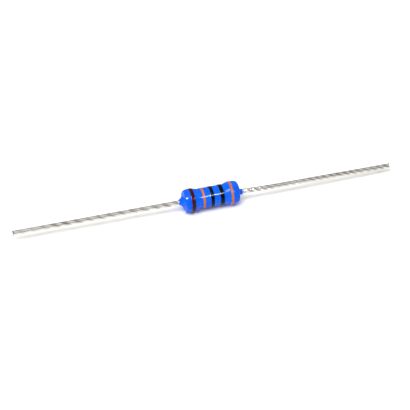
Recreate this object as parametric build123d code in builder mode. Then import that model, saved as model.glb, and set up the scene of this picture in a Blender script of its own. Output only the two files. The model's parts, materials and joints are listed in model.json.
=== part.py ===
# Metal film resistor with two axial leads, lying on a flat surface.
# X runs along the body from the tolerance band's end to the first digit's end, Z is up.
# The origin is on the surface, straight below the middle of the coated body.
import math
import os

from build123d import *

os.makedirs("parts", exist_ok=True)

# Ceramic rod and the metal film on it
core_diameter = 2.60
core_length = 8.40
core_chamfer = 0.12
film_thickness = 0.04
groove_width = 0.12
groove_pitch = 0.50
groove_margin = 0.45

# Pressed steel end caps
cap_wall = 0.22
cap_base = 0.24
cap_depth = 2.00
cap_corner_chamfer = 0.24

# Lead wires, welded to the caps
lead_diameter = 0.80
left_lead_length = 28.50
right_lead_length = 27.10
left_weld_drop = 0.05
right_weld_forward = 0.20
weld_bead_width = 0.20
weld_bead_height = 0.16
left_burr_width = 0.07
left_burr_length = 0.28
right_burr_width = 0.04
right_burr_length = 0.18
burr_crest_share = 0.65

# The leads' slight bends, left from the tape: the left one back, the right one forwards, then back
left_root_length = 0.40
left_back_angle = 0.88
left_drop_angle = 0.33
left_bend_radius = 50.0
right_root_length = 0.45
right_first_run = 4.50
right_first_forward_angle = 2.6
right_first_drop_angle = 0.2
right_back_angle = 1.0
right_drop_angle = 1.52
right_bend_radius = 25.0

# Epoxy coating
coat_over_film = 0.37
coat_over_left_cap = 0.40
coat_over_right_cap = 0.39
coat_over_left_end = 0.30
coat_over_right_end = 0.30
waist_run_in = 0.12
left_shoulder_length = 0.96
left_shoulder_height = 0.46
left_shoulder_fullness = 0.62
left_crest_length = 0.33
right_shoulder_length = 1.06
right_shoulder_height = 1.01
right_shoulder_fullness = 0.70
right_crest_length = 0.55
left_meniscus_length = 0.81
left_meniscus_rise = 0.86
meniscus_foot_share = 0.2
meniscus_top_share = 0.6
saddle_foot_share = 0.35
right_collar_length = 0.58
right_collar_thickness = 0.10
right_collar_sag = 0.03
collar_chamfer = 0.05
coat_edge_thickness = 0.06

# Printed colour bands
ink_thickness = 0.04
tolerance_band_from_end = 1.31
tolerance_band_width = 0.64
first_band_from_end = 1.52
first_band_width = 0.42
second_band_width = 0.65
third_band_width = 0.58
multiplier_band_width = 0.39

# The three bands on the waist, as shares of half its length from its middle
second_band_share = 0.7456
third_band_share = -0.0569
multiplier_band_share = -0.757

# Radii, from the rod outwards
core_radius = core_diameter / 2
film_radius = core_radius + film_thickness
cap_radius = film_radius + cap_wall
lead_radius = lead_diameter / 2
waist_radius = film_radius + coat_over_film
left_crest_radius = cap_radius + coat_over_left_cap
right_crest_radius = cap_radius + coat_over_right_cap

# Places along the body: core, caps and coating share one length, centred on the coating
body_length = core_length + 2 * cap_base + coat_over_left_end + coat_over_right_end
body_end = body_length / 2
left_cap_face = -body_end + coat_over_left_end
right_cap_face = body_end - coat_over_right_end
core_middle = (left_cap_face + right_cap_face) / 2
left_mouth = left_cap_face + cap_base + cap_depth
right_mouth = right_cap_face - cap_base - cap_depth
left_waist = left_mouth + waist_run_in
right_waist = right_mouth - waist_run_in
waist_middle = (left_waist + right_waist) / 2
half_waist = (right_waist - left_waist) / 2
first_band_x = body_end - first_band_from_end
second_band_x = waist_middle + second_band_share * half_waist
third_band_x = waist_middle + third_band_share * half_waist
multiplier_band_x = waist_middle + multiplier_band_share * half_waist
tolerance_band_x = -body_end + tolerance_band_from_end

# The part rests on the ink over its fullest crest
axis_height = max(left_crest_radius, right_crest_radius) + ink_thickness
body_plane = Plane(origin=(0, 0, axis_height), x_dir=(1, 0, 0), z_dir=(0, -1, 0))
body_axis = Axis((0, 0, axis_height), (1, 0, 0))


def cross_section(x, facing=1, forward=0, drop=0):
    """A plane square to the body's axis at x, looking along +X or -X, moved forward or down if need be."""
    return Plane(origin=(x, -forward, axis_height - drop), x_dir=(0, 1, 0), z_dir=(facing, 0, 0))


def coat_outline(growth):
    """Lines of the coating's outside, from the left lead to the right end, grown outwards by growth."""
    waist = waist_radius + growth
    left_crest = left_crest_radius + growth
    right_crest = right_crest_radius + growth
    edge = lead_radius + coat_edge_thickness + growth
    left_foot = -body_end - left_meniscus_length
    left_crest_out = -body_end + left_shoulder_length
    left_crest_in = left_crest_out + left_crest_length
    right_crest_out = body_end - right_shoulder_length
    right_crest_in = right_crest_out - right_crest_length
    left_rim = left_crest - left_shoulder_height
    right_rim = right_crest - right_shoulder_height
    left_top = min(edge + left_meniscus_rise, left_rim)

    # Left end: the coat climbs off the wire in a hollow curve, then turns over the cap's corner
    Line((left_foot, 0), (left_foot, edge))
    Bezier(
        (left_foot, edge),
        (left_foot + meniscus_foot_share * left_meniscus_length, edge),
        (-body_end, edge + meniscus_top_share * (left_top - edge)),
        (-body_end, left_top),
    )
    if left_rim > left_top:
        Line((-body_end, left_top), (-body_end, left_rim))
    Bezier(
        (-body_end, left_rim),
        (-body_end, left_rim + left_shoulder_fullness * left_shoulder_height),
        (left_crest_out - left_shoulder_fullness * left_shoulder_length, left_crest),
        (left_crest_out, left_crest),
    )
    Line((left_crest_out, left_crest), (left_crest_in, left_crest))
    saddle(left_crest_in, left_crest, left_waist, waist)

    # Waist over the bare film
    Line((left_waist, waist), (right_waist, waist))

    # Right end: a fuller shoulder and a flat face
    saddle(right_crest_in, right_crest, right_waist, waist)
    Line((right_crest_in, right_crest), (right_crest_out, right_crest))
    Bezier(
        (right_crest_out, right_crest),
        (right_crest_out + right_shoulder_fullness * right_shoulder_length, right_crest),
        (body_end, right_rim + right_shoulder_fullness * right_shoulder_height),
        (body_end, right_rim),
    )
    Line((body_end, right_rim), (body_end, 0))
    Line((body_end, 0), (left_foot, 0))


def saddle(crest_x, crest, waist_x, waist):
    """The slope from a crest down to the waist, level at both ends."""
    run = waist_x - crest_x
    Bezier(
        (crest_x, crest),
        (crest_x + run / 2, crest),
        (waist_x - saddle_foot_share * run, waist),
        (waist_x, waist),
    )


# Ceramic rod
with BuildPart() as ceramic_core:
    with BuildSketch(cross_section(core_middle)):
        Circle(core_radius)
    extrude(amount=core_length / 2, both=True)
    chamfer(ceramic_core.edges().filter_by(GeomType.CIRCLE), core_chamfer)
ceramic_core.part.label = "ceramic_core"

# Metal film on the rod, cut by a helical groove into a long narrow path
film_length = core_length - 2 * core_chamfer
cutter_height = 2 * film_thickness
groove_length = right_mouth - left_mouth - 2 * groove_margin
with BuildPart() as resistive_film:
    with BuildSketch(cross_section(core_middle)):
        Circle(film_radius)
        Circle(core_radius, mode=Mode.SUBTRACT)
    extrude(amount=film_length / 2, both=True)
    with BuildLine() as groove_path:
        Helix(
            pitch=groove_pitch,
            height=groove_length,
            radius=core_radius + film_thickness / 2,
            center=(core_middle - groove_length / 2, 0, axis_height),
            direction=(1, 0, 0),
        )
    groove_start = groove_path.line @ 0
    outwards = groove_start - Vector(core_middle - groove_length / 2, 0, axis_height)
    with BuildSketch(Plane(origin=groove_start, x_dir=outwards, z_dir=groove_path.line % 0)):
        Rectangle(cutter_height, groove_width)
    sweep(path=groove_path.line, is_frenet=True, mode=Mode.SUBTRACT)
resistive_film.part.label = "resistive_film"


def end_cap(face_x, facing):
    """A pressed cup whose flat base is at face_x and whose mouth looks back over the rod."""
    with BuildPart() as cap:
        with BuildSketch(cross_section(face_x, -facing)):
            Circle(cap_radius)
        extrude(amount=cap_base + cap_depth)
        with BuildSketch(cross_section(face_x - facing * cap_base, -facing)):
            Circle(film_radius)
        extrude(amount=cap_depth, mode=Mode.SUBTRACT)
        rims = cap.edges().filter_by(GeomType.CIRCLE).group_by(SortBy.RADIUS)[-1].sort_by(Axis.X)
        base_rim = rims[-1] if facing > 0 else rims[0]
        chamfer(base_rim, cap_corner_chamfer)
    return cap


left_end_cap = end_cap(left_cap_face, -1)
left_end_cap.part.label = "left_end_cap"
right_end_cap = end_cap(right_cap_face, 1)
right_end_cap.part.label = "right_end_cap"


def heading(facing, back_angle, rise_angle):
    """The direction of a wire that leaves along +X or -X, turned back and up by small angles."""
    back = math.tan(math.radians(back_angle))
    rise = math.tan(math.radians(rise_angle))
    return Vector(facing, back, rise).normalized()


def lead(root, route, bend_radius, burr_width, burr_length):
    """A wire from its weld bead on the cap, at the plane root, along a route to its sheared, flared tip."""
    bead_end = root.offset(weld_bead_height)
    outwards = (route[-1] - route[-2]).normalized()
    neck = Plane(origin=route[-1] - outwards * burr_length, z_dir=outwards)
    crest = neck.offset(burr_length * burr_crest_share)
    tip = neck.offset(burr_length)
    with BuildPart() as wire:
        with BuildSketch(root):
            Circle(lead_radius + weld_bead_width)
        with BuildSketch(bead_end):
            Circle(lead_radius)
        loft()
        with BuildLine() as path:
            FilletPolyline(bead_end.origin, *route[:-1], neck.origin, radius=bend_radius)
        with BuildSketch(bead_end):
            Circle(lead_radius)
        sweep(path=path.line)
        with BuildSketch(neck):
            Circle(lead_radius)
        with BuildSketch(crest):
            Circle(lead_radius + burr_width)
        loft()
        with BuildSketch(crest):
            Circle(lead_radius + burr_width)
        with BuildSketch(tip):
            Circle(lead_radius)
        loft()
    return wire


# Left lead: welded a hair low, with one slight bend where it leaves the cap
left_root = cross_section(left_cap_face, -1, drop=left_weld_drop)
left_bend = Vector(-body_end - left_root_length, 0, axis_height - left_weld_drop)
left_way = heading(-1, left_back_angle, -left_drop_angle)
left_tip = left_bend + left_way * (left_lead_length - left_root_length)
left_lead = lead(left_root, [left_bend, left_tip], left_bend_radius, left_burr_width, left_burr_length)
left_lead.part.label = "left_lead"

# Right lead: welded off centre, forwards for a short run and then back and down
right_root = cross_section(right_cap_face, forward=right_weld_forward)
right_bend = Vector(body_end + right_root_length, -right_weld_forward, axis_height)
right_first_way = heading(1, -right_first_forward_angle, -right_first_drop_angle)
right_knee = right_bend + right_first_way * right_first_run
right_way = heading(1, right_back_angle, -right_drop_angle)
right_tip = right_knee + right_way * (right_lead_length - right_root_length - right_first_run)
right_route = [right_bend, right_knee, right_tip]
right_lead = lead(right_root, right_route, right_bend_radius, right_burr_width, right_burr_length)
right_lead.part.label = "right_lead"

# Epoxy coating: the dog-bone outside and a sagging collar on the right wire, hollow where the inside is
with BuildPart() as epoxy_coating:
    with BuildSketch(body_plane):
        with BuildLine():
            coat_outline(0)
        make_face()
    revolve(axis=body_axis)
    with BuildSketch(right_root):
        with Locations((0, -right_collar_sag)):
            Circle(lead_radius + right_collar_thickness)
    extrude(amount=coat_over_right_end + right_collar_length)
    chamfer(epoxy_coating.edges().filter_by(GeomType.CIRCLE).sort_by(Axis.X)[-1], collar_chamfer)
    with BuildSketch(cross_section(core_middle)):
        Circle(film_radius)
    extrude(amount=core_length / 2, both=True, mode=Mode.SUBTRACT)
    add(left_end_cap.part, mode=Mode.SUBTRACT)
    add(right_end_cap.part, mode=Mode.SUBTRACT)
    add(left_lead.part, mode=Mode.SUBTRACT)
    add(right_lead.part, mode=Mode.SUBTRACT)
epoxy_coating.part.label = "epoxy_coating"


# Printed bands, cut from a skin over the whole coating
slab_height = 2 * axis_height


def colour_band(name, middle, width):
    """A ring of ink around the body that follows the coating's outside."""
    with BuildPart() as band:
        with BuildSketch(body_plane):
            with BuildLine():
                coat_outline(ink_thickness)
            make_face()
            with BuildLine():
                coat_outline(0)
            make_face(mode=Mode.SUBTRACT)
            with Locations((middle, 0)):
                Rectangle(width, slab_height, mode=Mode.INTERSECT)
        revolve(axis=body_axis)
    band.part.label = name
    return band


bands = [
    colour_band("tolerance_band", tolerance_band_x, tolerance_band_width),
    colour_band("multiplier_band", multiplier_band_x, multiplier_band_width),
    colour_band("third_digit_band", third_band_x, third_band_width),
    colour_band("second_digit_band", second_band_x, second_band_width),
    colour_band("first_digit_band", first_band_x, first_band_width),
]

inner_pieces = [ceramic_core, resistive_film, left_end_cap, right_end_cap]
outer_pieces = [left_lead, right_lead, epoxy_coating]
for piece in inner_pieces + outer_pieces + bands:
    export_step(piece.part, f"parts/{piece.part.label}.step")
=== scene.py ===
import json
import math

import bpy
import numpy as np
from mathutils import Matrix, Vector, noise


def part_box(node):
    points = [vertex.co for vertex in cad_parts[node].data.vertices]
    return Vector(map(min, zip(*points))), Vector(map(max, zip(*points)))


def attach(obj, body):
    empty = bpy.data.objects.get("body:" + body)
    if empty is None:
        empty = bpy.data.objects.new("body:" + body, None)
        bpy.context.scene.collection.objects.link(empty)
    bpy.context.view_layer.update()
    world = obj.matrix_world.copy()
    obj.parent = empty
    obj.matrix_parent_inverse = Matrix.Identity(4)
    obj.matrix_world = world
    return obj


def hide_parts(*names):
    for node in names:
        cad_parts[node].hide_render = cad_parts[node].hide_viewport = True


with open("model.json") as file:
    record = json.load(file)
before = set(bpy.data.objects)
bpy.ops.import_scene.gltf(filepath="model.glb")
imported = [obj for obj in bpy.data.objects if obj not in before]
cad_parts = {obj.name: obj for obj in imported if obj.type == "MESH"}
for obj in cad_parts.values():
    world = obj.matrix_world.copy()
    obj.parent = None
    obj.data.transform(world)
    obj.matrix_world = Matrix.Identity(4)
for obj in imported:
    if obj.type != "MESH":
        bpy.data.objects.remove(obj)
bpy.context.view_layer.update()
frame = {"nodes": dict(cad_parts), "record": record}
mm = 0.001
print("stage: frame loaded")


# Colours and nodes
def linear(hexColour):
    parts = [int(hexColour[k:k + 2], 16) / 255 for k in (1, 3, 5)]
    return [c / 12.92 if c <= 0.04045 else ((c + 0.055) / 1.055) ** 2.4 for c in parts] + [1.0]


def addNode(tree, kind, settings=None, links=None):
    node = tree.nodes.new(kind)
    for name, value in (settings or {}).items():
        if isinstance(name, int) or name in node.inputs:
            node.inputs[name].default_value = value
        else:
            setattr(node, name, value)
    for socket, source in (links or {}).items():
        tree.links.new(source, node.inputs[socket])
    return node


# A Mix node has sockets for numbers, vectors and colours, and these are the ones that colours use
mixShare, mixFrom, mixTo, mixResult = 0, 6, 7, 2


def newMaterial(name, shader):
    material = bpy.data.materials.new(name)
    material.use_nodes = True
    principled = material.node_tree.nodes["Principled BSDF"]
    for socket, value in shader.items():
        principled.inputs[socket].default_value = value
    return material, material.node_tree, principled


def fillRamp(node, stops):
    ramp = node.color_ramp
    while len(ramp.elements) < len(stops):
        ramp.elements.new(0.5)
    for element, (place, colour) in zip(ramp.elements, stops):
        element.position = place
        element.color = colour
    return node


# Sizes in mm, read from the frame's own boxes
def boxOf(node):
    low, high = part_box(node)
    return Vector(low) / mm, Vector(high) / mm


coatLow, coatHigh = boxOf("epoxy_coating")
leftCapLow, leftCapHigh = boxOf("left_end_cap")
rightCapLow, rightCapHigh = boxOf("right_end_cap")
filmLow, filmHigh = boxOf("resistive_film")
thirdLow, thirdHigh = boxOf("third_digit_band")
brownLow, brownHigh = boxOf("tolerance_band")
mounts = {m["name"]: m for m in frame["record"]["mounts"]}

axisHeight = (coatLow.z + coatHigh.z) / 2
leftCrest = (coatHigh.z - coatLow.z) / 2
inkThickness = (brownHigh.z - brownLow.z) / 2 - leftCrest
waistRadius = (thirdHigh.z - thirdLow.z) / 2 - inkThickness
filmRadius = (filmHigh.z - filmLow.z) / 2
capRadius = (leftCapHigh.z - leftCapLow.z) / 2
wireRadius = mounts["left_lead"]["dims"]["r_mm"]

# The coating, in mm and degrees
coat = {
    "endCover": 0.30,                       # over each cap's flat face
    "rightCrest": 1.95,
    "waistRunIn": 0.12,
    "saddleFootShare": 0.35,                # of the slope's run, how flat it meets the waist
    "leftShoulder": (0.96, 0.46, 0.62),     # length, height, fullness
    "leftCrestLength": 0.33,
    "rightShoulder": (1.06, 1.01, 0.70),
    "rightCrestLength": 0.55,
    "meniscusRise": 0.86,
    "meniscusShares": (0.2, 0.6),           # of its length and its rise, where its control points lie
    "edgeThickness": 0.06,
    "collarRadius": 0.49,
    "collarOffset": (-0.20, -0.03),         # forwards and down, with the right wire's weld
    "collarOffsetFrom": 1.3,                # radius at which the end face starts to follow the collar
    "neckFillet": (0.20, 0.18),             # run along the wire, rise up the end face
    "neckCorner": (0.06, 0.04),             # how near the fillet's curve is pulled to its corner
    "rimFillet": 0.07,
    "rimCorner": 0.02,
    "capChamfer": 0.24,
    "leanWay": 38.0,                        # from straight up towards the back, the side that leans right
    "rightLean": (1.1, 2.0, 4.4),           # angle, and where along the axis it starts and is full
    "leftLean": (0.8, 2.6, 4.6),
    "leanFade": 0.25,                       # beyond the end planes
    "segments": 192,
    "sharpAngle": 40,
    "wander": 0.012,                        # depth of the surface's slow swells
    "wanderPerMm": 0.55,
    "wanderMean": 0.35,                     # keeps most of the swells inside the plain outline
    "waistWander": 0.25,                    # share of the swells left at the waist
    "waistWanderEnds": (1.6, 2.8),          # from the middle, where they start to grow and are full
    "wanderCore": 0.3,                      # radius inside which they shrink towards the axis
}

bodyEnd = rightCapHigh.x + coat["endCover"]
leanAngle = math.radians(coat["leanWay"])
leanWay = Vector((0, math.sin(leanAngle), math.cos(leanAngle)))


def bezier(a, b, c, d, count):
    t = np.linspace(0, 1, count)[:, None]
    a, b, c, d = (np.array(p, float) for p in (a, b, c, d))
    return (1 - t) ** 3 * a + 3 * (1 - t) ** 2 * t * b + 3 * (1 - t) * t ** 2 * c + t ** 3 * d


def straight(a, b, count):
    t = np.linspace(0, 1, count)[:, None]
    return (1 - t) * np.array(a, float) + t * np.array(b, float)


def saddle(crestX, crest, waistX, count):
    run = waistX - crestX
    footX = waistX - coat["saddleFootShare"] * run
    return bezier((crestX, crest), (crestX + run / 2, crest),
                  (footX, waistRadius), (waistX, waistRadius), count)


# Outline of the coating's outside, from the left wire to the right end's flat face, as (x, radius).
# The number that ends each stretch is how many points it gets.
def outerOutline():
    edge = wireRadius + coat["edgeThickness"]
    footX = coatLow.x
    meniscusLength = -bodyEnd - footX
    leftLength, leftHeight, leftFull = coat["leftShoulder"]
    rightLength, rightHeight, rightFull = coat["rightShoulder"]
    rightCrest = coat["rightCrest"]
    leftRim = leftCrest - leftHeight
    rightRim = rightCrest - rightHeight
    leftTop = min(edge + coat["meniscusRise"], leftRim)
    footShare, topShare = coat["meniscusShares"]
    crestOut = -bodyEnd + leftLength
    crestIn = crestOut + coat["leftCrestLength"]
    farOut = bodyEnd - rightLength
    farIn = farOut - coat["rightCrestLength"]
    leftWaist = leftCapHigh.x + coat["waistRunIn"]
    rightWaist = rightCapLow.x - coat["waistRunIn"]
    stretches = [
        bezier((footX, edge), (footX + footShare * meniscusLength, edge),
               (-bodyEnd, edge + topShare * (leftTop - edge)), (-bodyEnd, leftTop), 36),
        straight((-bodyEnd, leftTop), (-bodyEnd, leftRim), 5),
        bezier((-bodyEnd, leftRim), (-bodyEnd, leftRim + leftFull * leftHeight),
               (crestOut - leftFull * leftLength, leftCrest), (crestOut, leftCrest), 36),
        straight((crestOut, leftCrest), (crestIn, leftCrest), 10),
        saddle(crestIn, leftCrest, leftWaist, 40),
        straight((leftWaist, waistRadius), (rightWaist, waistRadius), 60),
        saddle(farIn, rightCrest, rightWaist, 40)[::-1],
        straight((farIn, rightCrest), (farOut, rightCrest), 12),
        bezier((farOut, rightCrest), (farOut + rightFull * rightLength, rightCrest),
               (bodyEnd, rightRim + rightFull * rightHeight), (bodyEnd, rightRim), 44),
    ]
    points = np.vstack([stretches[0]] + [s[1:] for s in stretches[1:]])
    samePlace = 1e-6
    keep = np.r_[True, np.hypot(*np.diff(points, axis=0).T) > samePlace]
    return points[keep]


outline = outerOutline()
endMargin = 0.02                            # mm, leaves the upright end faces out
onBody = np.abs(outline[:, 0]) < bodyEnd - endMargin


def coatRadius(x):
    return float(np.interp(x, outline[onBody, 0], outline[onBody, 1]))


def smoothStep(x, start, end):
    t = np.clip((x - start) / (end - start), 0, 1)
    return t * t * (3 - 2 * t)


# The body as it really came out of the dip: ends askew, and a slow wander of its surface
def dippedShape(x, radius, angle):
    y = radius * math.cos(angle)
    z = radius * math.sin(angle)
    toward = y * leanWay.y + z * leanWay.z
    lean = 0.0
    for facing, (degrees, start, full) in ((1, coat["rightLean"]), (-1, coat["leftLean"])):
        lean += float(smoothStep(facing * x, start, full)) * math.tan(math.radians(degrees))
    fade = 1 - float(smoothStep(abs(x), bodyEnd, bodyEnd + coat["leanFade"]))
    atWaist = coat["waistWander"]
    share = atWaist + (1 - atWaist) * float(smoothStep(abs(x), *coat["waistWanderEnds"]))
    lump = noise.noise(Vector((x, y, z)) * coat["wanderPerMm"]) - coat["wanderMean"]
    grow = 1 + coat["wander"] * share * lump * fade / max(radius, coat["wanderCore"])
    return x + toward * lean * fade, y * grow, z * grow


# Meshes from rings of points
def ringMesh(name, rings, loop=False, caps=False):
    count, around = rings.shape[:2]
    verts = [tuple(p) for p in (rings.reshape(-1, 3) * mm)]
    faces = []
    for i in range(count if loop else count - 1):
        a = i * around
        b = (i + 1) % count * around
        for j in range(around):
            k = (j + 1) % around
            faces.append((a + j, a + k, b + k, b + j))
    if caps:
        for ring, flip in ((0, True), (count - 1, False)):
            middle = len(verts)
            verts.append(tuple(rings[ring].mean(axis=0) * mm))
            start = ring * around
            for j in range(around):
                k = (j + 1) % around
                corners = (start + k, start + j, middle) if flip else (start + j, start + k, middle)
                faces.append(corners)
    mesh = bpy.data.meshes.new(name)
    mesh.from_pydata(verts, [], faces)
    mesh.validate()
    mesh.shade_smooth()
    piece = bpy.data.objects.new(name, mesh)
    bpy.context.scene.collection.objects.link(piece)
    return piece


def addAttribute(piece, name, kind, field, values):
    attribute = piece.data.attributes.new(name, kind, "POINT")
    attribute.data.foreach_set(field, values)


def sharpen(piece, degrees):
    bpy.context.view_layer.objects.active = piece
    piece.select_set(True)
    bpy.ops.object.shade_smooth_by_angle(angle=math.radians(degrees))
    piece.select_set(False)


def dress(piece, material, node):
    piece.data.materials.append(material)
    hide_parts(node)
    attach(piece, "root")


# The collar on the right wire, from the end's flat face to its rim, as (x, radius)
def collarOutline():
    collar = coat["collarRadius"]
    run, rise = coat["neckFillet"]
    runCorner, riseCorner = coat["neckCorner"]
    rimX, fillet, corner = coatHigh.x, coat["rimFillet"], coat["rimCorner"]
    stretches = [
        straight(outline[-1], (bodyEnd, collar + rise), 10),
        bezier((bodyEnd, collar + rise), (bodyEnd, collar + riseCorner),
               (bodyEnd + runCorner, collar), (bodyEnd + run, collar), 10),
        straight((bodyEnd + run, collar), (rimX - fillet, collar), 8),
        bezier((rimX - fillet, collar), (rimX - corner, collar),
               (rimX, collar - corner), (rimX, collar - fillet), 6),
    ]
    return np.vstack([s[1:] for s in stretches])


# The cavity round the wires, the caps and the film, from the right rim back to the left foot
def cavityOutline():
    chamfer = coat["capChamfer"]
    return [
        (coatHigh.x, wireRadius),
        (rightCapHigh.x, wireRadius),
        (rightCapHigh.x, capRadius - chamfer),
        (rightCapHigh.x - chamfer, capRadius),
        (rightCapLow.x, capRadius),
        (rightCapLow.x, filmRadius),
        (leftCapHigh.x, filmRadius),
        (leftCapHigh.x, capRadius),
        (leftCapLow.x + chamfer, capRadius),
        (leftCapLow.x, capRadius - chamfer),
        (leftCapLow.x, wireRadius),
        (coatLow.x, wireRadius),
    ]


def makeCoating():
    outer = np.vstack([outline, collarOutline()])
    profile = np.vstack([outer, cavityOutline()])
    collar = coat["collarRadius"]
    around = coat["segments"]
    rings = np.zeros((len(profile), around, 3))
    for i, (x, radius) in enumerate(profile):
        skin = i < len(outer)
        if skin:
            follow = float(smoothStep(radius, coat["collarOffsetFrom"], collar)) * float(x > 0)
        else:
            follow = float(x > 0 and radius < collar)
        aside, down = (follow * c for c in coat["collarOffset"])
        for j in range(around):
            angle = 2 * math.pi * j / around
            if skin:
                px, y, z = dippedShape(x, radius, angle)
                rings[i, j] = px, y + aside, z + axisHeight + down
            else:
                rings[i, j] = x, radius * math.cos(angle) + aside, radius * math.sin(angle) + axisHeight
    return ringMesh("epoxyCoating", rings, loop=True)


coating = makeCoating()
sharpen(coating, coat["sharpAngle"])
print("stage: coating meshed")


# Printed bands: raised ink with rounded, slightly uneven edges, in mm
band = {
    "across": 22,             # points over the band's width
    "squareness": 6,          # power of the crown's curve, flat in the middle and round at the edges
    "edgeWave": 0.014,
    "wavesRound": 2.2,        # radius of the circle that is cut through the noise, 14 waves to the turn
    "seedStep": 7.3,          # sets the bands apart in the noise
    "edgeStep": 3.1,          # and the two edges of a band
    "sunk": 0.012,            # how far the ink reaches into the coating
}


def makeBand(node, name, seed):
    low, high = boxOf(node)
    middle = (low.x + high.x) / 2
    half = (high.x - low.x) / 2
    around = coat["segments"]
    across = np.sin(np.linspace(-math.pi / 2, math.pi / 2, band["across"]))
    rows = 2 * len(across)
    rings = np.zeros((rows, around, 3))
    edgeness = np.zeros((rows, around))
    for j in range(around):
        angle = 2 * math.pi * j / around
        ring = Vector((math.cos(angle) * band["wavesRound"], math.sin(angle) * band["wavesRound"],
                       seed * band["seedStep"]))
        waveLow = band["edgeWave"] * noise.noise(ring)
        waveHigh = band["edgeWave"] * noise.noise(ring + Vector((0, 0, band["edgeStep"])))
        for i, t in enumerate(across):
            x = middle + t * half + (waveLow * (1 - t) + waveHigh * (1 + t)) / 2
            radius = coatRadius(x)
            px, y, z = dippedShape(x, radius, angle)
            height = inkThickness * (1 - abs(t) ** band["squareness"]) ** 0.5
            for row, lift in ((i, height), (rows - 1 - i, -band["sunk"])):
                grow = 1 + lift / radius
                rings[row, j] = px, y * grow, z * grow + axisHeight
                edgeness[row, j] = abs(t)
    piece = ringMesh(name, rings, loop=True)
    addAttribute(piece, "across", "FLOAT", "value", edgeness.ravel())
    return piece


bandNames = {
    "tolerance_band": "toleranceBand",
    "multiplier_band": "multiplierBand",
    "third_digit_band": "thirdDigitBand",
    "second_digit_band": "secondDigitBand",
    "first_digit_band": "firstDigitBand",
}
bands = {node: makeBand(node, name, seed) for seed, (node, name) in enumerate(bandNames.items())}
print("stage: bands meshed")


# Tinned wires, marked all along by the rollers that straightened them, in mm
wire = {
    "around": 56,
    "step": 0.045,
    "sharpAngle": 50,
    "turn": 3.7,                      # of wire for one turn of the marks
    "markDepth": 0.016,
    "markPower": 1.6,                 # above 1, the dents are narrower than the ridges between them
    "markStrength": (0.75, 0.6),      # mean and swing
    "driftPerMm": 0.21,               # how fast the strength changes along the wire
    "driftRound": 0.5,                # and round it
    "wobble": 0.5,                    # radians by which a mark strays from its helix
    "wobbleFiner": 2.3,               # than the drift of the strength
    "wobbleStep": 9,                  # sets the wobble apart from that drift in the noise
    "seedStep": 5.0,                  # and the two wires apart
    "markStart": (0.3, 0.8),          # from the root, where the marks set in
    "markStop": (0.2, 0.1),           # before and after the tip's first point, where they end
    "beadWidth": 0.20,                # of the weld at the root
    "beadHeight": 0.16,
    "tipGap": 0.01,                   # between the last plain ring and the tip's own
    "wornBurr": 0.05,                 # growth at which the tip is painted as dark as a full mark
}
leftWire = {
    "name": "leftLead", "facing": -1, "rootX": leftCapLow.x, "rootOffset": (0.0, -0.05),
    "length": 28.80, "starts": 2, "seed": 1,
    "bends": [(0.70, 0.41, -0.33, 0.88)],    # mm from the root, half its run, then degrees up and back
    "tip": [                                 # mm from the end, growth of the radius
        (0.28, 0.0), (0.20, 0.022), (0.14, 0.055), (0.09, 0.068),
        (0.05, 0.062), (0.015, 0.03), (0.0, -0.01),
    ],
    "shear": 0.05,
}
rightWire = {
    "name": "rightLead", "facing": 1, "rootX": rightCapHigh.x, "rootOffset": (-0.20, 0.0),
    "length": 27.40, "starts": 3, "seed": 2,
    "bends": [(0.75, 0.57, -0.2, -2.6), (5.25, 0.84, -1.52, 1.0)],
    "tip": [
        (0.18, 0.0), (0.13, 0.012), (0.09, 0.03), (0.06, 0.037),
        (0.03, 0.03), (0.01, 0.0), (0.0, -0.03),
    ],
    "shear": 0.07,
}


# Places along a wire, its direction at each and the points of its middle line
def wireRun(one):
    tipStart = one["length"] - one["tip"][0][0]
    along = np.linspace(0, one["length"], int(one["length"] / wire["step"]))
    along = along[along < tipStart - wire["tipGap"]]
    along = np.r_[along, [one["length"] - fromEnd for fromEnd, growth in one["tip"]]]
    rise = np.zeros(len(along))
    back = np.zeros(len(along))
    for place, half, up, behind in one["bends"]:
        share = smoothStep(along, place - half, place + half)
        rise += share * (math.radians(up) - rise)
        back += share * (math.radians(behind) - back)
    ways = np.stack([np.full(len(along), float(one["facing"])), np.tan(back), np.tan(rise)], axis=1)
    ways /= np.linalg.norm(ways, axis=1)[:, None]
    steps = np.diff(along)[:, None] * (ways[1:] + ways[:-1]) / 2
    centre = np.vstack([[0, 0, 0], np.cumsum(steps, axis=0)])
    aside, lift = one["rootOffset"]
    return along, ways, centre + [one["rootX"], aside, axisHeight + lift]


# The roller marks at a place: their phase, their strength, and how deep in a mark it lies, from 0 to 1
def rollerMark(one, s, angle):
    phase = angle - 2 * math.pi * (one["rootX"] + one["facing"] * s) / wire["turn"]
    drift = Vector((s * wire["driftPerMm"], math.cos(angle) * wire["driftRound"],
                    one["seed"] * wire["seedStep"] + math.sin(angle) * wire["driftRound"]))
    mean, swing = wire["markStrength"]
    strength = mean + swing * noise.noise(drift)
    finer = drift * wire["wobbleFiner"] + Vector((wire["wobbleStep"], 0, 0))
    wobble = wire["wobble"] * noise.noise(finer)
    return phase, strength, 0.5 + 0.5 * math.cos(one["starts"] * phase + wobble)


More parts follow.
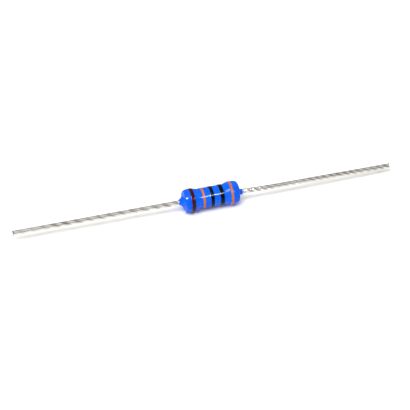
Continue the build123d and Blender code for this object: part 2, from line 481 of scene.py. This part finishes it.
def makeWire(one):
    along, ways, centre = wireRun(one)
    flareAt = [one["length"] - fromEnd for fromEnd, growth in one["tip"]]
    flareBy = [growth for fromEnd, growth in one["tip"]]
    shearStart, shearFull = flareAt[-3], flareAt[-1]
    beforeTip, afterTip = wire["markStop"]
    around = wire["around"]
    rings = np.zeros((len(along), around, 3))
    twisted = np.zeros((len(along), around, 3))
    marks = np.zeros((len(along), around))
    angles = np.linspace(0, 2 * math.pi, around, endpoint=False)
    for i, s in enumerate(along):
        way = Vector(ways[i])
        side = Vector((0, 1, 0)).cross(way).normalized()       # points up or down, square to the wire
        upward = side if side.z > 0 else -side
        outward = way.cross(upward).normalized()
        outward = outward if outward.y > 0 else -outward
        flare = float(np.interp(s, flareAt, flareBy))
        bead = max(0.0, 1 - s / wire["beadHeight"]) * wire["beadWidth"]
        ended = float(smoothStep(s, flareAt[0] - beforeTip, flareAt[0] + afterTip))
        marked = float(smoothStep(s, *wire["markStart"])) * (1 - ended)
        for j, angle in enumerate(angles):
            phase, strength, mark = rollerMark(one, s, angle)
            dent = wire["markDepth"] * strength * marked * mark ** wire["markPower"]
            radius = wireRadius + bead + flare - dent
            cut = one["shear"] * math.sin(angle + one["seed"]) * float(smoothStep(s, shearStart, shearFull))
            point = centre[i] + np.array(outward * math.cos(angle) + upward * math.sin(angle)) * radius
            rings[i, j] = point + ways[i] * (cut - one["shear"] * float(s > shearStart))
            twisted[i, j] = s, wireRadius * math.cos(phase), wireRadius * math.sin(phase)
            # Share of the painted dark colour: deep in a roller mark, where it is a painted dark
            # reflection, and on the flared tip
            marks[i, j] = strength * marked * mark + min(1.0, max(0.0, flare) / wire["wornBurr"])
    if one["facing"] > 0:
        rings = rings[:, ::-1]
        twisted = twisted[:, ::-1]
        marks = marks[:, ::-1]
    piece = ringMesh(one["name"], rings, caps=True)
    capCentres = [twisted[0].mean(axis=0), twisted[-1].mean(axis=0)]
    turned = np.vstack([twisted.reshape(-1, 3), capCentres])
    addAttribute(piece, "twisted", "FLOAT_VECTOR", "vector", turned.ravel())
    addAttribute(piece, "mark", "FLOAT", "value", np.r_[marks.ravel(), 0.0, 0.0])
    return piece


leads = {"left_lead": makeWire(leftWire), "right_lead": makeWire(rightWire)}
for piece in leads.values():
    sharpen(piece, wire["sharpAngle"])
print("stage: wires meshed")

# Glossy blue epoxy, dipped and cured: the dip leaves one deep even blue with faint clouds, and a skin so
# smooth that lamps show in it as small sharp spots, which a trace of orange peel breaks up
epoxy = {
    "shader": {"Roughness": 0.10, "IOR": 1.5, "Specular IOR Level": 0.17},
    "tones": [(0.30, "#005AE8"), (0.50, "#0062F0"), (0.70, "#006AF8")],
    "cloudSize": 1.54,        # mm
    "peelSize": 0.667,        # mm
    "peelDepth": 0.1,         # mm, which the strength cuts down
    "peelStrength": 0.02,
}


def epoxyMaterial():
    material, tree, shader = newMaterial("dippedEpoxyCuredGlossy", epoxy["shader"])
    place = addNode(tree, "ShaderNodeTexCoord").outputs["Object"]
    clouds = addNode(tree, "ShaderNodeTexNoise",
                     {"Scale": 1 / (epoxy["cloudSize"] * mm), "Detail": 3.0, "Roughness": 0.55},
                     {"Vector": place})
    tone = fillRamp(addNode(tree, "ShaderNodeValToRGB", None, {"Fac": clouds.outputs["Fac"]}),
                    [(stop, linear(colour)) for stop, colour in epoxy["tones"]])
    tree.links.new(tone.outputs["Color"], shader.inputs["Base Color"])
    peel = addNode(tree, "ShaderNodeTexNoise",
                   {"Scale": 1 / (epoxy["peelSize"] * mm), "Detail": 2.0}, {"Vector": place})
    bump = addNode(tree, "ShaderNodeBump",
                   {"Strength": epoxy["peelStrength"], "Distance": epoxy["peelDepth"] * mm},
                   {"Height": peel.outputs["Fac"]})
    tree.links.new(bump.outputs["Normal"], shader.inputs["Normal"])
    return material


# Printing ink, rolled on and baked: solid in the middle of the band and thinner at its rounded edges,
# where it looks darker, with a slightly blotchy cover and less gloss than the epoxy
ink = {
    "shader": {"Roughness": 0.10, "IOR": 1.5, "Specular IOR Level": 0.12},
    "edgeFrom": 0.72,         # share of the way from the band's middle to its edge
    "blotRange": (0.35, 0.60),
    "blotSize": 0.91,         # mm
    "blotDepth": 0.1,         # mm, which the strength cuts down
    "blotStrength": 0.02,
}
inkColours = {
    "orange": {"solid": "#D67C40", "edge": "#8E5420", "thin": "#CA7236"},
    "brown": {"solid": "#4C0A06", "edge": "#240402", "thin": "#3C0603"},
    "black": {"solid": "#030405", "edge": "#010101", "thin": "#020203"},
}


def inkMaterial(colour):
    colours = inkColours[colour]
    material, tree, shader = newMaterial("printedInk" + colour.title() + "Baked", ink["shader"])
    place = addNode(tree, "ShaderNodeTexCoord").outputs["Object"]
    across = addNode(tree, "ShaderNodeAttribute", {"attribute_name": "across"}).outputs["Fac"]
    rim = addNode(tree, "ShaderNodeMapRange", {"From Min": ink["edgeFrom"]}, {"Value": across})
    blots = addNode(tree, "ShaderNodeTexNoise",
                    {"Scale": 1 / (ink["blotSize"] * mm), "Detail": 4.0}, {"Vector": place})
    thinTo, solidFrom = ink["blotRange"]
    body = fillRamp(addNode(tree, "ShaderNodeValToRGB", None, {"Fac": blots.outputs["Fac"]}), [
        (thinTo, linear(colours["thin"])), (solidFrom, linear(colours["solid"])),
    ])
    mix = addNode(tree, "ShaderNodeMix", {"data_type": "RGBA", mixTo: linear(colours["edge"])},
                  {mixShare: rim.outputs["Result"], mixFrom: body.outputs["Color"]})
    tree.links.new(mix.outputs[mixResult], shader.inputs["Base Color"])
    bump = addNode(tree, "ShaderNodeBump",
                   {"Strength": ink["blotStrength"], "Distance": ink["blotDepth"] * mm},
                   {"Height": blots.outputs["Fac"]})
    tree.links.new(bump.outputs["Normal"], shader.inputs["Normal"])
    return material


# Copper wire, hot tinned and straightened by rollers: bright metal that dulls towards its edges under a
# thin oxide, with rubbed streaks along it. A painted dark reflection lies in the dents the rollers pressed,
# and the flared tips are painted darker too
tin = {
    "shader": {"Metallic": 1.0, "Specular Tint": linear("#ADADAD")},
    "tones": [(0.32, "#C8C6C0"), (0.50, "#E8E6E1"), (0.68, "#F8F6F2")],
    # dark colour painted into the roller marks' dents, a painted reflection of dark surroundings, and onto
    # the flared tips
    "pressed": "#6E6A66",
    "pressedRange": (0.2, 0.9),             # of the marks' depth, where that colour sets in and is full
    "pressedShare": 0.62,
    "streakSize": (0.91, 0.111, 0.111),     # mm along and across, coarser than real ones so that they show
    "roughness": (0.18, 0.10),              # in the darkest and the brightest streaks
    "roughnessRange": (0.3, 0.7),
    "scratchFiner": 3.0,                    # than the streaks
    "scratchDepth": 0.01,                   # mm
    "scratchStrength": 0.25,
    "dentDepth": 0.03,                      # mm, over and above the meshed marks, so that they show
}


def tinnedMaterial():
    material, tree, shader = newMaterial("hotTinnedWireRollerStraightened", tin["shader"])
    twisted = addNode(tree, "ShaderNodeAttribute", {"attribute_name": "twisted"}).outputs["Vector"]
    drawn = addNode(tree, "ShaderNodeMapping", {"Scale": [1 / size for size in tin["streakSize"]]},
                    {"Vector": twisted}).outputs["Vector"]
    streaks = addNode(tree, "ShaderNodeTexNoise", {"Scale": 1.0, "Detail": 5.0, "Roughness": 0.6},
                      {"Vector": drawn}).outputs["Fac"]
    tone = fillRamp(addNode(tree, "ShaderNodeValToRGB", None, {"Fac": streaks}),
                    [(stop, linear(colour)) for stop, colour in tin["tones"]])
    # how deep in a roller mark and how flared at the tip: it sets the share of the painted dark colour, and
    # the dents' bump
    mark = addNode(tree, "ShaderNodeAttribute", {"attribute_name": "mark"}).outputs["Fac"]
    faint, full = tin["pressedRange"]
    pressed = addNode(tree, "ShaderNodeMapRange",
                      {"From Min": faint, "From Max": full, "To Max": tin["pressedShare"]}, {"Value": mark})
    marked = addNode(tree, "ShaderNodeMix", {"data_type": "RGBA", mixTo: linear(tin["pressed"])},
                     {mixShare: pressed.outputs["Result"], mixFrom: tone.outputs["Color"]})
    tree.links.new(marked.outputs[mixResult], shader.inputs["Base Color"])
    darkest, brightest = tin["roughnessRange"]
    dull, bright = tin["roughness"]
    rubbed = addNode(tree, "ShaderNodeMapRange",
                     {"From Min": darkest, "From Max": brightest, "To Min": dull, "To Max": bright},
                     {"Value": streaks})
    tree.links.new(rubbed.outputs["Result"], shader.inputs["Roughness"])
    fine = addNode(tree, "ShaderNodeTexNoise",
                   {"Scale": tin["scratchFiner"], "Detail": 3.0}, {"Vector": drawn})
    scratches = addNode(tree, "ShaderNodeBump",
                        {"Strength": tin["scratchStrength"], "Distance": tin["scratchDepth"] * mm},
                        {"Height": fine.outputs["Fac"]})
    dents = addNode(tree, "ShaderNodeBump",
                    {"Strength": 1.0, "Distance": tin["dentDepth"] * mm, "invert": True},
                    {"Height": mark, "Normal": scratches.outputs["Normal"]})
    tree.links.new(dents.outputs["Normal"], shader.inputs["Normal"])
    return material


# Inner pieces, which show only in a cut: alumina fired to a matt chalky white, nickel chromium sputtered
# to a satin grey, and steel pressed and tin plated to a soft pale shine, each with a fine grain in its tone
innerGrain = {
    "range": (0.35, 0.65),
    "depth": 0.02,            # mm
    "strength": 0.15,
}


def innerMaterial(name, light, dark, grainSize, shaderSettings):
    material, tree, shader = newMaterial(name, shaderSettings)
    place = addNode(tree, "ShaderNodeTexCoord").outputs["Object"]
    grain = addNode(tree, "ShaderNodeTexNoise",
                    {"Scale": 1 / (grainSize * mm), "Detail": 4.0}, {"Vector": place})
    darkTo, lightFrom = innerGrain["range"]
    tone = fillRamp(addNode(tree, "ShaderNodeValToRGB", None, {"Fac": grain.outputs["Fac"]}), [
        (darkTo, linear(dark)), (lightFrom, linear(light)),
    ])
    tree.links.new(tone.outputs["Color"], shader.inputs["Base Color"])
    bump = addNode(tree, "ShaderNodeBump",
                   {"Strength": innerGrain["strength"], "Distance": innerGrain["depth"] * mm},
                   {"Height": grain.outputs["Fac"]})
    tree.links.new(bump.outputs["Normal"], shader.inputs["Normal"])
    return material


orange = inkMaterial("orange")
brown = inkMaterial("brown")
black = inkMaterial("black")
bandInks = {
    "tolerance_band": (brown, "brown_ink"),
    "multiplier_band": (orange, "orange_ink"),
    "third_digit_band": (black, "black_ink"),
    "second_digit_band": (black, "black_ink"),
    "first_digit_band": (orange, "orange_ink"),
}
dress(coating, epoxyMaterial(), "epoxy_coating")
for node, (material, slotName) in bandInks.items():
    dress(bands[node], material, node)
tinned = tinnedMaterial()
for node, piece in leads.items():
    dress(piece, tinned, node)

# The grain sizes are in mm, coarser than the real ones, so that the grain shows in a cut
alumina = innerMaterial("firedAluminaMatt", "#EAE6DC", "#DAD4C8", 0.40, {"Roughness": 0.7})
nickelChromium = innerMaterial("sputteredNickelChromiumSatin", "#8C8A88", "#6E6C6A", 0.333,
                               {"Roughness": 0.35, "Metallic": 1.0})
platedSteel = innerMaterial("pressedSteelTinPlated", "#C9C7C2", "#A9A7A2", 0.556,
                            {"Roughness": 0.3, "Metallic": 1.0})
innerLooks = {
    "ceramic_core": alumina,
    "resistive_film": nickelChromium,
    "left_end_cap": platedSteel,
    "right_end_cap": platedSteel,
}
for node, material in innerLooks.items():
    mesh = frame["nodes"][node].data
    mesh.materials.clear()
    mesh.materials.append(material)
print("stage: materials made")

# Studio floor of cast white acrylic sheet: an even white with soft, blurred reflections.
# The camera, and gloss and metal too, see it lifted to the white of the background.
floor = {
    "size": 3.0,              # metres
    "drop": 0.02,             # mm below the part
    "shader": {"Base Color": linear("#E2E2E2"), "Roughness": 0.35, "Specular IOR Level": 0.5},
    "seen": "#AAA9A2",
    "mirrored": "#959389",
}


def makeFloor():
    half = floor["size"] / 2
    z = -floor["drop"] * mm
    mesh = bpy.data.meshes.new("floor")
    corners = [(-half, -half, z), (half, -half, z), (half, half, z), (-half, half, z)]
    mesh.from_pydata(corners, [], [(0, 1, 2, 3)])
    piece = bpy.data.objects.new("floor", mesh)
    bpy.context.scene.collection.objects.link(piece)
    material, tree, shader = newMaterial("whiteAcrylicSheet", floor["shader"])
    paths = addNode(tree, "ShaderNodeLightPath")
    lift = None
    looks = {"Is Glossy Ray": "mirrored", "Is Transmission Ray": "mirrored", "Is Camera Ray": "seen"}
    for ray, look in looks.items():
        mix = addNode(tree, "ShaderNodeMix",
                      {"data_type": "RGBA", mixFrom: linear("#000000"), mixTo: linear(floor[look])},
                      {mixShare: paths.outputs[ray]})
        if lift:
            tree.links.new(lift, mix.inputs[mixFrom])
        lift = mix.outputs[mixResult]
    lifted = addNode(tree, "ShaderNodeBsdfDiffuse", None, {"Color": lift})
    both = addNode(tree, "ShaderNodeAddShader", None,
                   {0: shader.outputs["BSDF"], 1: lifted.outputs["BSDF"]})
    tree.links.new(both.outputs["Shader"], tree.nodes["Material Output"].inputs["Surface"])
    mesh.materials.append(material)


makeFloor()

# The room: a dim grey at the horizon that grows lighter overhead.
# Each stop is a height, as the sine of its angle above the floor, and the strength of the light from there.
room = [(0.0, 0.36), (0.30, 0.38), (0.55, 0.53), (0.80, 0.64), (1.0, 0.65)]


def makeRoom():
    world = bpy.data.worlds.new("studioRoom")
    bpy.context.scene.world = world
    world.use_nodes = True
    tree = world.node_tree
    tree.nodes.clear()
    direction = addNode(tree, "ShaderNodeTexCoord").outputs["Generated"]
    parts = addNode(tree, "ShaderNodeSeparateXYZ", None, {"Vector": direction})
    strength = fillRamp(addNode(tree, "ShaderNodeValToRGB", None, {"Fac": parts.outputs["Z"]}),
                        [(height, (grey, grey, grey, 1.0)) for height, grey in room])
    light = addNode(tree, "ShaderNodeBackground", {"Color": linear("#FFFFFF")},
                    {"Strength": strength.outputs["Color"]})
    addNode(tree, "ShaderNodeOutputWorld", None, {"Surface": light.outputs["Background"]})


makeRoom()

# Lamps in front of the part. A direction is its share along X and its degrees above the floor, a distance
# is in metres, and a size is in degrees as seen from the part. The softbox lights surfaces, and the others
# only shine in gloss and metal.
lamps = {
    "windowSoftbox": {
        "direction": (-0.31, 61.2), "distance": 0.50, "size": (28, 32),
        "radiance": 7.7, "gloss": False,
    },
    "windowShine": {
        "direction": (-0.28, 62), "distance": 0.49, "size": (6, 22),
        "radiance": 125.0, "diffuse": False,
    },
    "sideShine": {
        "direction": (-0.61, 47.5), "distance": 0.49, "size": (16, 18),
        "radiance": 115.0, "diffuse": False,
    },
    "smallLamp": {
        "direction": (0.230, 47), "distance": 0.045, "size": (8.0, 4.0),
        "radiance": 140.0, "diffuse": False,
    },
}
bodyMiddle = Vector((0, 0, axisHeight)) * mm


def makeLamp(name, one):
    sideways, height = one["direction"]
    up = math.sin(math.radians(height))
    front = math.sqrt(1 - up * up - sideways * sideways)
    way = Vector((sideways, -front, up)).normalized()
    width, tall = (2 * one["distance"] * math.tan(math.radians(a) / 2) for a in one["size"])
    data = bpy.data.lights.new(name, "AREA")
    data.shape = "RECTANGLE"
    data.size = width
    data.size_y = tall
    data.energy = one["radiance"] * math.pi * width * tall
    lamp = bpy.data.objects.new(name, data)
    lamp.location = bodyMiddle + way * one["distance"]
    lamp.rotation_euler = way.to_track_quat("Z", "Y").to_euler()
    lamp.visible_glossy = one.get("gloss", True)
    lamp.visible_diffuse = one.get("diffuse", True)
    bpy.context.scene.collection.objects.link(lamp)


for name, one in lamps.items():
    makeLamp(name, one)
print("stage: room and lamps set")

# Camera, in degrees and mm
view = {
    "elevation": 38.0,
    "azimuth": 17.2,            # round from the front towards the left wire
    "distance": 250.0,
    "lens": 133.0,
    "sensor": 36.0,
    "aim": (-0.995, -1.425),    # right of and above the body's middle, as the camera sees it
    "clip": (10, 10000),
}


def makeCamera():
    rise = math.radians(view["elevation"])
    turn = math.radians(view["azimuth"])
    ahead = Vector((math.sin(turn) * math.cos(rise), math.cos(turn) * math.cos(rise), -math.sin(rise)))
    right = Vector((math.cos(turn), -math.sin(turn), 0))
    up = right.cross(ahead)
    target = Vector((0, 0, axisHeight)) + right * view["aim"][0] + up * view["aim"][1]
    data = bpy.data.cameras.new("camera")
    data.lens = view["lens"]
    data.sensor_width = view["sensor"]
    data.clip_start, data.clip_end = (distance * mm for distance in view["clip"])
    camera = bpy.data.objects.new("camera", data)
    camera.location = (target - ahead * view["distance"]) * mm
    camera.rotation_euler = (-ahead).to_track_quat("Z", "Y").to_euler()
    bpy.context.scene.collection.objects.link(camera)
    bpy.context.scene.camera = camera


makeCamera()
bpy.context.scene.view_settings.view_transform = "Standard"
print("stage: camera set")
